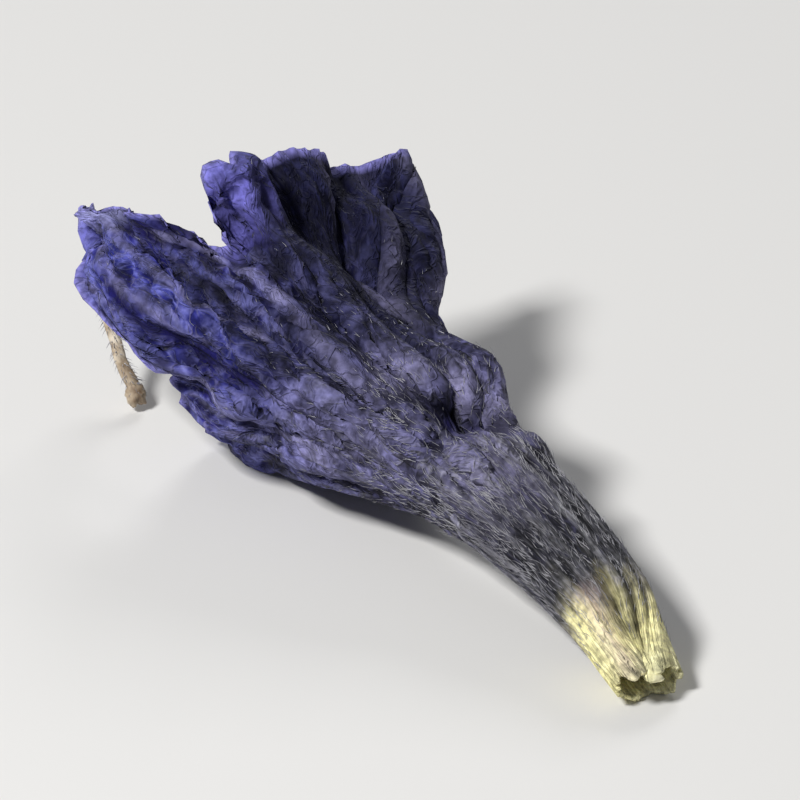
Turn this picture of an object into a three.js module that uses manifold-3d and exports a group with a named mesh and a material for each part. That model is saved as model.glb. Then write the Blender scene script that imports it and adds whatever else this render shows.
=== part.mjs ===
// A dried borage flower of the funnel-shaped kind, pulled from its calyx and lying on its side.
// The corolla is one papery funnel: a narrow torn tube that opens into five shrivelled lobes.
// Five stamens grow from its inner wall. A loose style lies in the tube and hangs from the mouth.
// Millimetres, +Z up, +X from the torn end to the mouth. Turns are degrees round +X from +Y,
// and distances run along the funnel from its torn end.

import * as THREE from "three";
import { mergeVertices } from "three/addons/utils/BufferGeometryUtils.js";
import Module from "manifold-3d";

const wasm = await Module();
wasm.setup();

// Funnel: girth and course at stations every STATION_STEP from the torn end
const WALL = 0.6;
const STATION_STEP = 3;
const HALF_WIDTHS = [0.95, 1.05, 1.2, 1.4, 1.8, 2.85, 4.05, 4.85, 5.15, 5.25];
const HALF_HEIGHTS = [0.95, 1.0, 1.1, 1.25, 1.6, 2.35, 3.35, 4.1, 4.4, 4.5];
const SIDE_DRIFTS = [0, -0.4, -0.55, -0.4, 0, 0.2, 0.1, -0.1, -0.3, -0.6];
const MIDDLE_HEIGHTS = [1.2, 1.9, 2.5, 3.05, 3.6, 4.1, 4.5, 4.8, 5.0, 5.1];

// Torn end: depth of its teeth, and the waves round it that make them
const TORN_DEPTH = 0.3;
const TORN_WAVES = [3, 4];

// Lobes: reach of the middle, depth of the notch after it, curl in degrees a millimetre
// (outwards when positive) and how blunt the end is
const LOBES = [
  { turn: 13, reach: 27.5, notch: 20.5, curl: -5.5, blunt: 1.4 }, // long side lobe
  { turn: 96, reach: 22.2, notch: 22, curl: 1, blunt: 0.45 }, // top lobe
  { turn: 152, reach: 22.6, notch: 18.5, curl: -2, blunt: 0.5 }, // right lobe
  { turn: 230, reach: 22.5, notch: 18.5, curl: 2, blunt: 0.8 }, // right foot lobe
  { turn: 304, reach: 21, notch: 21, curl: -5, blunt: 0.8 }, // left foot lobe
];
// The lower corner of the long lobe is worn away: its turn, spread in degrees, and depth
const WORN_CORNER = { turn: 353, across: 11, depth: 2.2 };
const THROAT_BEFORE_NOTCH = 1.5;
const FLARE = 0.32;
const STRAIGHT = 1e-4;

// Relief: five midribs that wind a little round the funnel, in degrees a millimetre, and
// pleats between them
const RIBS = 5;
const RIB_TURN = 6;
const TWIST = 0.7;
const TWIST_START = 15;
const RIB_HEIGHTS = [0.03, 0.05, 0.07, 0.12, 0.2, 0.38, 0.5, 0.45, 0.36, 0.3];
const RIB_SHARPNESS = 1.5;
const RIB_LEVEL = 0.4;
const PLEATS = 13;
const PLEAT_LEAN = 0.25;
const PLEAT_HEIGHTS = [0, 0, 0, 0.01, 0.03, 0.06, 0.09, 0.09, 0.08, 0.06];

// Relief: fine ribs on the outside of the neck only
const NECK_RIBS = 12;
const NECK_RIB_HEIGHTS = [0.16, 0.2, 0.22, 0.22, 0.18, 0.1, 0, 0, 0, 0];

// Relief: single dents, bumps and folds
const DENTS = [
  { turn: 108, at: 18, across: 2.6, along: 3.2, high: -1.0 }, // sunken face of the top lobe
  { turn: 150, at: 17.2, across: 1.8, along: 2.2, high: -0.5 }, // pressed side of the right lobe
  { turn: 135, at: 13, across: 1.5, along: 1.4, high: 0.7 }, // bump over the neck
  { turn: 84, at: 10.8, across: 1.1, along: 1, high: -0.4 }, // pocket under the bump
  { turn: 54, at: 15, across: 1, along: 6, high: 0.5 }, // keel that runs to the long lobe
  { turn: 12, at: 18.8, across: 0.8, along: 2, high: -0.6 }, // groove under the keel
  { turn: 352, at: 15.5, across: 1, along: 3.5, high: -0.4 }, // crease above the hem
  { turn: 324, at: 15.5, across: 1.2, along: 3, high: 0.3 }, // folded hem
  { turn: 72, at: 21.4, across: 0.9, along: 1, high: 0.45 }, // rolled margin of the top lobe
  { turn: 302, at: 20.5, across: 1.2, along: 2, high: 0.45 }, // keel of the left foot lobe
  { turn: 90, at: 0, across: 0.9, along: 2, high: -0.35 }, // pressed lip of the torn end
];

// Relief: the crumpled margin
const CRUMPLE_LENGTH = 8;
const CRUMPLE_HEIGHT = 0.46;
const CRUMPLE_WAVES = [
  { around: 7, along: 0.9, phase: 0.4, share: 0.45 },
  { around: 11, along: -0.7, phase: 2.6, share: 0.35 },
  { around: 4, along: 1.7, phase: 4.0, share: 0.3 },
];

// Faces: how many round the funnel and along it, and how far the rows crowd to the margin
const AROUND = 72;
const ALONG = 32;
const CROWDING = 0.8;

// Stamens: one under each notch, each with its turn, root, length, and how far out it ends as a
// share of the way from the middle of the funnel to its wall. They start at the given shares.
const FILAMENT = 0.6;
const FILAMENT_SHARES = [0.96, 0.8, 0.68, 0.6];
const ANTHER_LENGTH = 1.5;
const ANTHER_WIDTH = 0.8;
const STAMENS = [
  { turn: 56, root: 11.5, length: 8.5, end: 0.5 },
  { turn: 128, root: 11, length: 7, end: 0.42 },
  { turn: 194, root: 12, length: 7.5, end: 0.55 },
  { turn: 267, root: 11, length: 9, end: 0.45 },
  { turn: 332, root: 12, length: 7.5, end: 0.6 },
];
const FILAMENT_SIDES = 6;
const FILAMENT_STEPS = 10;
const ANTHER_SIDES = 8;

// Style: a thread through these places, with a small round stigma at its end
const STYLE = 0.6;
const STIGMA = 0.9;
const STYLE_COURSE = [
  [6.0, -0.5, 2.5],
  [10, -0.1, 3.2],
  [14, 0.6, 3.7],
  [18, 1.5, 4.6],
  [22, 2.4, 5.1],
  [24.4, 2.8, 5.2],
  [26.2, 3.0, 4.6],
  [26.2, 3.2, 3.0],
  [25.3, 3.3, 1.8],
  [24.3, 3.3, 0.8],
];
const STYLE_SIDES = 8;
const STYLE_STEPS = 48;

// Settling: small turns that bring the torn end and two lobes onto the table together
const PITCH = 0.7;
const ROLL = 2.1;
const FOOT_TRIM = 0.2;

const radians = THREE.MathUtils.degToRad;
const smooth = THREE.MathUtils.smoothstep;
const mix = THREE.MathUtils.lerp;
const wrap = (turn) => THREE.MathUtils.euclideanModulo(turn + 180, 360) - 180;

// A value between equally spaced stations, on a Catmull-Rom curve.
function alongStations(values, distance) {
  const last = values.length - 1;
  const place = THREE.MathUtils.clamp(distance / STATION_STEP, 0, last - 0.001);
  const i = Math.floor(place);
  const f = place - i;
  const at = (k) => values[THREE.MathUtils.clamp(k, 0, last)];
  const rise = (at(i + 1) - at(i - 1)) / 2;
  const nextRise = (at(i + 2) - at(i)) / 2;
  const gap = at(i + 1) - at(i);
  return at(i) + f * (rise + f * (3 * gap - 2 * rise - nextRise + f * (rise + nextRise - 2 * gap)));
}

// Reach, notch depth and curl of the margin at a turn. The notches lie halfway between lobes.
function lobeAt(turn) {
  const count = LOBES.length;
  let nearest = 0;
  LOBES.forEach((lobe, k) => {
    if (Math.abs(wrap(turn - lobe.turn)) < Math.abs(wrap(turn - LOBES[nearest].turn))) nearest = k;
  });
  const lobe = LOBES[nearest];
  const off = wrap(turn - lobe.turn);
  const after = off >= 0;
  const neighbour = LOBES[(nearest + (after ? 1 : count - 1)) % count];
  const half = Math.abs(wrap(neighbour.turn - lobe.turn)) / 2;
  const fullness = Math.cos((Math.PI / 2) * Math.min(Math.abs(off) / half, 1));
  const notch = after ? lobe.notch : neighbour.notch;
  const before = after ? LOBES[(nearest + count - 1) % count].notch : lobe.notch;
  const base = mix(notch, (notch + before) / 2, fullness);
  const besideCorner = wrap(turn - WORN_CORNER.turn) / WORN_CORNER.across;
  const worn = WORN_CORNER.depth * Math.exp(-besideCorner * besideCorner);
  return {
    notch: base,
    curl: lobe.curl * fullness,
    reach: base + (lobe.reach - base) * fullness ** lobe.blunt - worn,
  };
}

// The funnel before its relief: a flattened tube, whose lobes curl past the throat.
function plainPoint(turn, distance) {
  const { notch, curl } = lobeAt(turn);
  const before = Math.min(distance, notch - THROAT_BEFORE_NOTCH);
  const past = distance - before;
  const across = new THREE.Vector2(
    alongStations(HALF_WIDTHS, before) * Math.cos(radians(turn)),
    alongStations(HALF_HEIGHTS, before) * Math.sin(radians(turn)),
  );
  const point = new THREE.Vector3(before, across.x, across.y);
  const bend = radians(curl);
  const turned = bend * past;
  const curls = Math.abs(turned) > STRAIGHT;
  const ahead = curls ? Math.sin(turned) / bend : past;
  const aside = curls ? (1 - Math.cos(turned)) / bend : 0;
  const spread = Math.sin(FLARE) * ahead + Math.cos(FLARE) * aside;
  across.normalize();
  point.x += Math.cos(FLARE) * ahead - Math.sin(FLARE) * aside;
  point.y += across.x * spread + alongStations(SIDE_DRIFTS, distance);
  point.z += across.y * spread + alongStations(MIDDLE_HEIGHTS, distance);
  return point;
}

// Relief height at a place on the funnel: ribs, pleats, dents and the crumpled margin.
function relief(turn, distance) {
  const round = radians(turn);
  const twisted = radians(turn - RIB_TURN + TWIST * (distance - TWIST_START));
  const rib = ((1 + Math.cos(RIBS * twisted)) / 2) ** RIB_SHARPNESS - RIB_LEVEL;
  const pleat = Math.sin(PLEATS * twisted + PLEAT_LEAN * distance);
  let high = alongStations(RIB_HEIGHTS, distance) * rib;
  high += alongStations(PLEAT_HEIGHTS, distance) * pleat;
  const width = alongStations(HALF_WIDTHS, distance);
  const girth = Math.sqrt(width * alongStations(HALF_HEIGHTS, distance));
  for (const dent of DENTS) {
    const aside = (radians(wrap(turn - dent.turn)) * girth) / dent.across;
    const ahead = (distance - dent.at) / dent.along;
    high += dent.high * Math.exp(-aside * aside - ahead * ahead);
  }
  const { reach } = lobeAt(turn);
  const margin = CRUMPLE_HEIGHT * smooth(distance, reach - CRUMPLE_LENGTH, reach);
  for (const wave of CRUMPLE_WAVES) {
    high += margin * wave.share * Math.sin(wave.around * round + wave.along * distance + wave.phase);
  }
  return high;
}

// Height of the fine ribs that only the outside has.
function neckRib(turn, distance) {
  const twisted = radians(turn + TWIST * distance);
  return (alongStations(NECK_RIB_HEIGHTS, distance) * (1 + Math.cos(NECK_RIBS * twisted))) / 2;
}

// A place on the middle surface of the finished sheet.
function sheetPoint(turn, distance) {
  const beside = 0.5;
  const beyond = 0.05;
  const round = plainPoint(turn + beside, distance).sub(plainPoint(turn - beside, distance));
  const ahead = plainPoint(turn, distance + beyond).sub(plainPoint(turn, distance - beyond));
  const out = round.cross(ahead).normalize();
  return plainPoint(turn, distance).addScaledVector(out, relief(turn, distance));
}

// A place inside the funnel, at a share of the way from its middle line to the sheet.
function insidePoint(turn, distance, share) {
  const side = alongStations(SIDE_DRIFTS, distance);
  const middle = new THREE.Vector3(distance, side, alongStations(MIDDLE_HEIGHTS, distance));
  return middle.lerp(sheetPoint(turn, distance), share);
}

// Distance of a row of the sheet, from the torn edge to the margin.
function rowDistance(turn, share) {
  const round = radians(turn);
  const [long, short] = TORN_WAVES;
  const torn = TORN_DEPTH * (1 + Math.sin(long * round + 1) * Math.cos(short * round));
  return mix(torn, lobeAt(turn).reach, share ** CROWDING);
}

// The sheet: a closed lathe, whose profile runs up the outside and back down the inside,
// and whose points are then moved to either side of the shrivelled middle surface.
function sheetSolid() {
  const rows = [];
  for (let j = 0; j <= ALONG; j++) {
    const row = [];
    for (let i = 0; i < AROUND; i++) {
      const turn = (i * 360) / AROUND;
      const distance = rowDistance(turn, j / ALONG);
      row.push({ place: sheetPoint(turn, distance), rib: neckRib(turn, distance) });
    }
    rows.push(row);
  }
  const outwards = (i, j) => {
    const at = (row, column) => rows[row][column % AROUND].place.clone();
    const round = at(j, i + 2).sub(at(j, i + AROUND - 2));
    const ahead = at(Math.min(j + 2, ALONG), i).sub(at(Math.max(j - 2, 0), i));
    return round.cross(ahead).normalize();
  };
  const profile = [];
  for (let j = 0; j <= ALONG; j++) profile.push(new THREE.Vector2(2, j));
  for (let j = ALONG; j >= 0; j--) profile.push(new THREE.Vector2(1, j));
  profile.push(profile[0].clone());
  const lathe = new THREE.LatheGeometry(profile, AROUND);
  const place = lathe.getAttribute("position");
  for (let v = 0; v < place.count; v++) {
    const i = Math.floor(v / profile.length) % AROUND;
    const { x, y } = profile[v % profile.length];
    const { place: middle, rib } = rows[y][i];
    const side = x > 1 ? WALL / 2 + rib : -WALL / 2;
    const p = middle.clone().addScaledVector(outwards(i, y), side);
    place.setXYZ(v, p.x, p.y, p.z);
  }
  // Each square of the inside is split along its other diagonal, to match the outside.
  const index = lathe.getIndex();
  for (let q = 0; q < index.count; q += 6) {
    if ((q / 6) % (profile.length - 1) <= ALONG) continue;
    const [a, b, d] = [index.getX(q), index.getX(q + 1), index.getX(q + 2)];
    const c = index.getX(q + 3);
    index.array.set([a, b, c, c, d, a], q);
  }
  return solidOf(lathe);
}

// A thread: a capped cylinder, whose points are moved round a curve through some places.
function threadSolid(course, radius, sides, steps) {
  const curve = new THREE.CatmullRomCurve3(course);
  const frames = curve.computeFrenetFrames(steps);
  const thread = new THREE.CylinderGeometry(radius, radius, steps, sides, steps);
  const place = thread.getAttribute("position");
  for (let v = 0; v < place.count; v++) {
    const k = Math.round(place.getY(v) + steps / 2);
    const p = curve.getPointAt(k / steps);
    p.addScaledVector(frames.normals[k], place.getX(v));
    p.addScaledVector(frames.binormals[k], place.getZ(v));
    place.setXYZ(v, p.x, p.y, p.z);
  }
  return solidOf(thread);
}

// A stamen: a bent filament rooted in the sheet, with an anther at its end.
function stamenSolid({ turn, root, length, end }) {
  const before = FILAMENT_SHARES[FILAMENT_SHARES.length - 1];
  const shares = [...FILAMENT_SHARES, mix(end, before, 0.4), end];
  const course = shares.map((share, k) => {
    const along = root + (length * k) / (shares.length - 1);
    return insidePoint(turn, along, share);
  });
  const tip = course[course.length - 1];
  const onward = tip.clone().sub(course[course.length - 2]).normalize();
  const anther = new THREE.SphereGeometry(ANTHER_WIDTH / 2, ANTHER_SIDES, ANTHER_SIDES - 2);
  anther.scale(1, ANTHER_LENGTH / ANTHER_WIDTH, 1);
  const up = new THREE.Vector3(0, 1, 0);
  anther.applyQuaternion(new THREE.Quaternion().setFromUnitVectors(up, onward));
  anther.translate(...tip.clone().addScaledVector(onward, ANTHER_LENGTH / 3).toArray());
  const filament = threadSolid(course, FILAMENT / 2, FILAMENT_SIDES, FILAMENT_STEPS);
  return wasm.Manifold.union([filament, solidOf(anther)]);
}

// The style: a thread from inside the tube, out of the mouth and down, with a stigma at its end.
function styleSolid() {
  const course = STYLE_COURSE.map((p) => new THREE.Vector3(...p));
  const stigma = new THREE.SphereGeometry(STIGMA / 2, STYLE_SIDES, STYLE_SIDES - 2);
  stigma.translate(...course[course.length - 1].toArray());
  const thread = threadSolid(course, STYLE / 2, STYLE_SIDES, STYLE_STEPS);
  return wasm.Manifold.union([thread, solidOf(stigma)]);
}

// A closed three.js geometry as a manifold-3d solid, turned the right way out.
function solidOf(geometry) {
  const bare = new THREE.BufferGeometry();
  bare.setAttribute("position", geometry.getAttribute("position"));
  bare.setIndex(geometry.getIndex());
  const merged = mergeVertices(bare);
  const triVerts = new Uint32Array(merged.getIndex().array);
  const vertProperties = new Float32Array(merged.getAttribute("position").array);
  const make = () => new wasm.Manifold(new wasm.Mesh({ numProp: 3, vertProperties, triVerts }));
  const made = make();
  if (made.volume() > 0) return made;
  for (let t = 0; t < triVerts.length; t += 3) {
    [triVerts[t + 1], triVerts[t + 2]] = [triVerts[t + 2], triVerts[t + 1]];
  }
  return make();
}

// A manifold-3d solid as a three.js mesh of a plain colour.
function meshOf(name, solid, color) {
  const made = solid.getMesh();
  const geometry = new THREE.BufferGeometry();
  geometry.setAttribute("position", new THREE.BufferAttribute(made.vertProperties, 3));
  geometry.setIndex(new THREE.BufferAttribute(made.triVerts, 1));
  geometry.computeVertexNormals();
  const material = new THREE.MeshStandardMaterial({ color, roughness: 0.85, metalness: 0 });
  const mesh = new THREE.Mesh(geometry, material);
  mesh.name = name;
  return mesh;
}

// Laid on the table: settled, trimmed to small flats, and centred over the origin
const settle = (solid) => solid.rotate([ROLL, PITCH, 0]);
const whole = settle(wasm.Manifold.union([sheetSolid(), ...STAMENS.map(stamenSolid)]));
const table = whole.boundingBox().min[2] + FOOT_TRIM;
const corolla = whole.trimByPlane([0, 0, 1], table);
const style = settle(styleSolid());
const low = corolla.boundingBox().min.map((v, k) => Math.min(v, style.boundingBox().min[k]));
const high = corolla.boundingBox().max.map((v, k) => Math.max(v, style.boundingBox().max[k]));
const toOrigin = [-(low[0] + high[0]) / 2, -(low[1] + high[1]) / 2, -table];

const flower = new THREE.Group();
flower.add(meshOf("corolla", corolla.translate(toOrigin), 0x3a3560));
flower.add(meshOf("style", style.translate(toOrigin), 0xb59a72));
export default flower;
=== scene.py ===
import math

import bpy
import numpy as np
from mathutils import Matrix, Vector, noise


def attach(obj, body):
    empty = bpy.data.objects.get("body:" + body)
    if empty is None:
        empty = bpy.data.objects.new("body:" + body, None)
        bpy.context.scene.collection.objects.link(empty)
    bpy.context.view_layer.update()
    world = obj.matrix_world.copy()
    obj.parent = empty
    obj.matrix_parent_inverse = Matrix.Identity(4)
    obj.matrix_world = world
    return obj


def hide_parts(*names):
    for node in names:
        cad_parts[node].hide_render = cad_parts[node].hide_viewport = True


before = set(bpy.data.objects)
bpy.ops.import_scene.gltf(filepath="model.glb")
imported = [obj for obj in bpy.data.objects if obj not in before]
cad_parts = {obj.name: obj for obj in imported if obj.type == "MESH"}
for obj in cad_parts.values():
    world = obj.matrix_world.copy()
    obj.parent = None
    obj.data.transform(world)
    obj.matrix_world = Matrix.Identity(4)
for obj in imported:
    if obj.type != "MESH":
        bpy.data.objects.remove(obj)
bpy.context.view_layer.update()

# Table and light: a pale matt table under soft lamps. The camera looks down at 30 degrees over
# the flower's left side, from the torn end towards the mouth, with a long lens.
VIEW_AZIMUTH = math.radians(236)
VIEW_ELEVATION = math.radians(30)
VIEW_WIDTH = 0.02475
VIEW_DISTANCE = 0.45
# The view's middle lies beside and above the torn end, as the camera sees them.
TORN_END = Vector((-0.0137, -0.0001, 0.0011))
CENTRE_RIGHT = -0.00817
CENTRE_UP = 0.00842
TABLE_SIZE = 4


def direction(azimuth, elevation):
    """Unit vector from the flower towards a camera or a lamp at these angles."""
    level = math.cos(elevation)
    return Vector((math.sin(azimuth) * level, -math.cos(azimuth) * level, math.sin(elevation)))


bpy.ops.object.select_all(action="DESELECT")
to_camera = direction(VIEW_AZIMUTH, VIEW_ELEVATION)
view_right = Vector((math.cos(VIEW_AZIMUTH), math.sin(VIEW_AZIMUTH), 0))
view_up = to_camera.cross(view_right)
view_centre = TORN_END + view_right * CENTRE_RIGHT + view_up * CENTRE_UP

bpy.ops.object.camera_add(location=view_centre + to_camera * VIEW_DISTANCE)
camera = bpy.context.object
camera.rotation_euler = to_camera.to_track_quat("Z", "Y").to_euler()
camera.data.lens = camera.data.sensor_width * VIEW_DISTANCE / VIEW_WIDTH
camera.data.clip_start = 0.01
camera.data.clip_end = 20
bpy.context.scene.camera = camera

bpy.ops.mesh.primitive_plane_add(size=TABLE_SIZE, location=(0, 0, 0))
table = bpy.context.object
table.name = "table"
table_paint = bpy.data.materials.new("pale matt table")
table_paint.use_nodes = True
table_shader = table_paint.node_tree.nodes["Principled BSDF"]
table_shader.inputs["Base Color"].default_value = (0.72, 0.71, 0.69, 1)
table_shader.inputs["Roughness"].default_value = 0.7
table.data.materials.append(table_paint)

room = bpy.data.worlds.new("pale room")
room.use_nodes = True
room.node_tree.nodes["Background"].inputs["Color"].default_value = (0.9, 0.93, 1, 1)
room.node_tree.nodes["Background"].inputs["Strength"].default_value = 0.13
bpy.context.scene.world = room
bpy.context.scene.view_settings.view_transform = "Standard"

# Soft boxes that face the flower: degrees beside the camera and above the table, metres away,
# metres across and watts
LAMPS = [
    ("key box", -55, 52, 0.30, 0.06, 0.95),
    ("fill box", 70, 30, 0.40, 0.30, 0.06),
    ("back box", 165, 35, 0.35, 0.12, 0.3),
]
for lamp_name, beside, above, away, width, power in LAMPS:
    toward = direction(VIEW_AZIMUTH + math.radians(beside), math.radians(above))
    bpy.ops.object.light_add(type="AREA", location=toward * away)
    lamp = bpy.context.object
    lamp.name = lamp_name
    lamp.rotation_euler = toward.to_track_quat("Z", "Y").to_euler()
    lamp.data.size = width
    lamp.data.energy = power

# Corolla: one papery funnel of petal tissue, torn off at its narrow end and split into five
# shrivelled lobes at its mouth. It is an open tube of one sheet, laid along its dried shape.
MM = 0.001
# Millimetres at stations along the flower's middle line, from the torn end
STATION_STEP = 3
HALF_WIDTHS = [0.95, 1.05, 1.2, 1.4, 1.8, 2.85, 4.05, 4.85, 5.15, 5.25]
HALF_HEIGHTS = [0.95, 1.0, 1.1, 1.25, 1.6, 2.35, 3.35, 4.1, 4.4, 4.5]
SIDE_DRIFTS = [0, -0.4, -0.55, -0.4, 0, 0.2, 0.1, -0.1, -0.3, -0.6]
MIDDLE_HEIGHTS = [1.2, 1.9, 2.5, 3.05, 3.6, 4.1, 4.5, 4.8, 5.0, 5.1]
RIB_HEIGHTS = [0.03, 0.05, 0.07, 0.12, 0.2, 0.38, 0.5, 0.45, 0.36, 0.3]
PLEAT_HEIGHTS = [0, 0, 0, 0.01, 0.03, 0.06, 0.09, 0.09, 0.08, 0.06]
NECK_RIB_HEIGHTS = [0.04, 0.16, 0.22, 0.24, 0.2, 0.12, 0.04, 0, 0, 0]
# The lobes: turn of each middle in degrees round the funnel, reach of its tip and of the notch
# after it in millimetres, curl in degrees a millimetre, and bluntness
LOBE_TURNS = np.array([13.0, 96, 152, 230, 304])
LOBE_REACHES = np.array([27.5, 22.2, 22.6, 22.5, 21])
LOBE_NOTCHES = np.array([20.5, 22, 18.5, 18.5, 21])
LOBE_CURLS = np.array([-5.5, 1, -2, 2, -5])
LOBE_BLUNTNESS = np.array([1.4, 0.45, 0.5, 0.8, 0.8])
LEAST_CURL = 1e-3
# From this far before their notches the lobes lean out, by so many radians.
THROAT_BEFORE_NOTCH = 1.5
FLARE = 0.32
RIBS = 5
RIB_TURN = 6
RIB_SHARPNESS = 1.5
RIB_SUNK = 0.4
PLEATS = 13
PLEAT_SLANT = 0.25
NECK_RIBS = 12
# Degrees a millimetre that the ribs wind round the funnel
TWIST = 0.7
TWIST_START = 15
# Turn, distance, spread across, spread along and height of single dents, bumps and folds
DENTS = [
    (108, 18, 2.6, 3.2, -1.0),
    (150, 17.2, 1.8, 2.2, -0.5),
    (135, 13, 1.5, 1.4, 0.7),
    (84, 10.8, 1.1, 1, -0.55),
    (54, 15, 1, 6, 0.5),
    (12, 18.8, 0.8, 2, -0.6),
    (352, 15.5, 1, 3.5, -0.4),
    (324, 15.5, 1.2, 3, 0.3),
    (72, 21.4, 0.9, 1, 0.45),
    (302, 20.5, 1.2, 2, 0.45),
    (90, 0, 1.1, 1.7, -0.8),
]
# The margin's crumpling: its height, how far it reaches in, and for each set of waves their
# number round, radians a millimetre along, phase and share
CRUMPLE_HEIGHT = 0.46
CRUMPLE_WIDTH = 8
CRUMPLES = [(7, 0.9, 0.4, 0.45), (11, -0.7, 2.6, 0.35), (4, 1.7, 4.0, 0.3)]
# How the flower settled on the table, and the way from its own frame to the part's
ROLL = math.radians(2.1)
PITCH = math.radians(0.7)
TO_ORIGIN = np.array([-13.6848, 0.2758, -0.0698])

COLUMNS = 288
ROWS = 156


def smooth_step(value, low, high):
    share = np.clip((value - low) / (high - low), 0, 1)
    return share * share * (3 - 2 * share)


def wrap_turn(turn):
    return (turn + 180) % 360 - 180


def along_stations(values, distance):
    """A value between equally spaced stations, on a Catmull-Rom curve."""
    values = np.asarray(values, float)
    last = len(values) - 1
    place = np.clip(distance / STATION_STEP, 0, last - 0.001)
    i = np.floor(place).astype(int)
    f = place - i
    before, here = values[np.clip(i - 1, 0, last)], values[i]
    after, beyond = values[np.clip(i + 1, 0, last)], values[np.clip(i + 2, 0, last)]
    rise, next_rise = (after - before) / 2, (beyond - here) / 2
    gap = after - here
    return here + f * (rise + f * (3 * gap - 2 * rise - next_rise + f * (rise + next_rise - 2 * gap)))


def mean_radius(distance):
    return np.sqrt(along_stations(HALF_WIDTHS, distance) * along_stations(HALF_HEIGHTS, distance))


def lobe_at(turn):
    """Distance of the notches, curl and reach of the margin at a turn."""
    off_all = wrap_turn(turn[..., None] - LOBE_TURNS)
    nearest = np.abs(off_all).argmin(-1)
    off = np.take_along_axis(off_all, nearest[..., None], -1)[..., 0]
    count = len(LOBE_TURNS)
    after = off >= 0
    earlier = (nearest - 1) % count
    neighbour = np.where(after, (nearest + 1) % count, earlier)
    half = np.abs(wrap_turn(LOBE_TURNS[neighbour] - LOBE_TURNS[nearest])) / 2
    fullness = np.cos(np.pi / 2 * np.minimum(np.abs(off) / half, 1))
    notch = np.where(after, LOBE_NOTCHES[nearest], LOBE_NOTCHES[earlier])
    other = np.where(after, LOBE_NOTCHES[earlier], LOBE_NOTCHES[nearest])
    base = notch + ((notch + other) / 2 - notch) * fullness
    full = np.maximum(fullness, 0) ** LOBE_BLUNTNESS[nearest]
    return base, LOBE_CURLS[nearest] * fullness, base + (LOBE_REACHES[nearest] - base) * full


def plain_point(turn, distance):
    """The funnel before its relief: a flattened tube, whose lobes curl past the throat."""
    notch, curl, _ = lobe_at(turn)
    before = np.minimum(distance, notch - THROAT_BEFORE_NOTCH)
    past = distance - before
    side = along_stations(HALF_WIDTHS, before) * np.cos(np.radians(turn))
    height = along_stations(HALF_HEIGHTS, before) * np.sin(np.radians(turn))
    bend = np.radians(np.where(np.abs(curl) < LEAST_CURL, LEAST_CURL, curl))
    ahead = np.sin(bend * past) / bend
    aside = (1 - np.cos(bend * past)) / bend
    spread = math.sin(FLARE) * ahead + math.cos(FLARE) * aside
    girth = np.hypot(side, height)
    return np.stack(
        [
            before + math.cos(FLARE) * ahead - math.sin(FLARE) * aside,
            side + side / girth * spread + along_stations(SIDE_DRIFTS, distance),
            height + height / girth * spread + along_stations(MIDDLE_HEIGHTS, distance),
        ],
        -1,
    )


def unit(vectors):
    return vectors / np.linalg.norm(vectors, axis=-1, keepdims=True)


def outward(turn, distance):
    """Unit normal of the plain funnel."""
    round_it = plain_point(turn + 0.5, distance) - plain_point(turn - 0.5, distance)
    ahead = plain_point(turn, distance + 0.05) - plain_point(turn, distance - 0.05)
    return unit(np.cross(round_it, ahead))


def relief(turn, distance):
    """Height of the ribs, pleats, dents and the crumpled margin."""
    round_it = np.radians(turn)
    twisted = np.radians(turn - RIB_TURN + TWIST * (distance - TWIST_START))
    crest = ((1 + np.cos(RIBS * twisted)) / 2) ** RIB_SHARPNESS - RIB_SUNK
    high = along_stations(RIB_HEIGHTS, distance) * crest
    high += along_stations(PLEAT_HEIGHTS, distance) * np.sin(PLEATS * twisted + PLEAT_SLANT * distance)
    for dent_turn, at, across, along, dent_high in DENTS:
        aside = np.radians(wrap_turn(turn - dent_turn)) * mean_radius(distance) / across
        ahead = (distance - at) / along
        high += dent_high * np.exp(-aside * aside - ahead * ahead)
    reach = lobe_at(turn)[2]
    margin = CRUMPLE_HEIGHT * smooth_step(distance, reach - CRUMPLE_WIDTH, reach)
    for around, along, phase, share in CRUMPLES:
        high += margin * share * np.sin(around * round_it + along * distance + phase)
    return high


def sheet_point(turn, distance):
    return plain_point(turn, distance) + outward(turn, distance) * relief(turn, distance)[..., None]


def settled(points):
    """Millimetres of the flower's own frame, turned and moved onto the table, in metres."""
    x, y, z = points[..., 0], points[..., 1], points[..., 2]
    y, z = y * math.cos(ROLL) - z * math.sin(ROLL), y * math.sin(ROLL) + z * math.cos(ROLL)
    x, z = x * math.cos(PITCH) + z * math.sin(PITCH), z * math.cos(PITCH) - x * math.sin(PITCH)
    return (np.stack([x, y, z], -1) + TO_ORIGIN) * MM


def stepped_cylinder(name, sides, steps, ends):
    """A cylinder of radius 1 that stands from 0 to 1, cut across into equal steps."""
    bpy.ops.object.select_all(action="DESELECT")
    bpy.ops.mesh.primitive_cylinder_add(
        vertices=sides, radius=1, depth=1, end_fill_type=ends, location=(0, 0, 0.5)
    )
    made = bpy.context.object
    made.name = name
    bpy.ops.object.transform_apply(location=True)
    bpy.ops.object.mode_set(mode="EDIT")
    bpy.ops.mesh.select_mode(type="EDGE")
    bpy.ops.mesh.select_all(action="DESELECT")
    bpy.ops.object.mode_set(mode="OBJECT")
    for edge in made.data.edges:
        low, high = (made.data.vertices[v].co.z for v in edge.vertices)
        edge.select = abs(low - high) > 0.5
    bpy.ops.object.mode_set(mode="EDIT")
    bpy.ops.mesh.subdivide(number_cuts=steps - 1)
    bpy.ops.object.mode_set(mode="OBJECT")
    return made


corolla = stepped_cylinder("corolla_sheet", COLUMNS, ROWS, "NOTHING")


def pick(piece):
    """Selects one object alone."""
    bpy.ops.object.select_all(action="DESELECT")
    piece.select_set(True)
    bpy.context.view_layer.objects.active = piece


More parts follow.
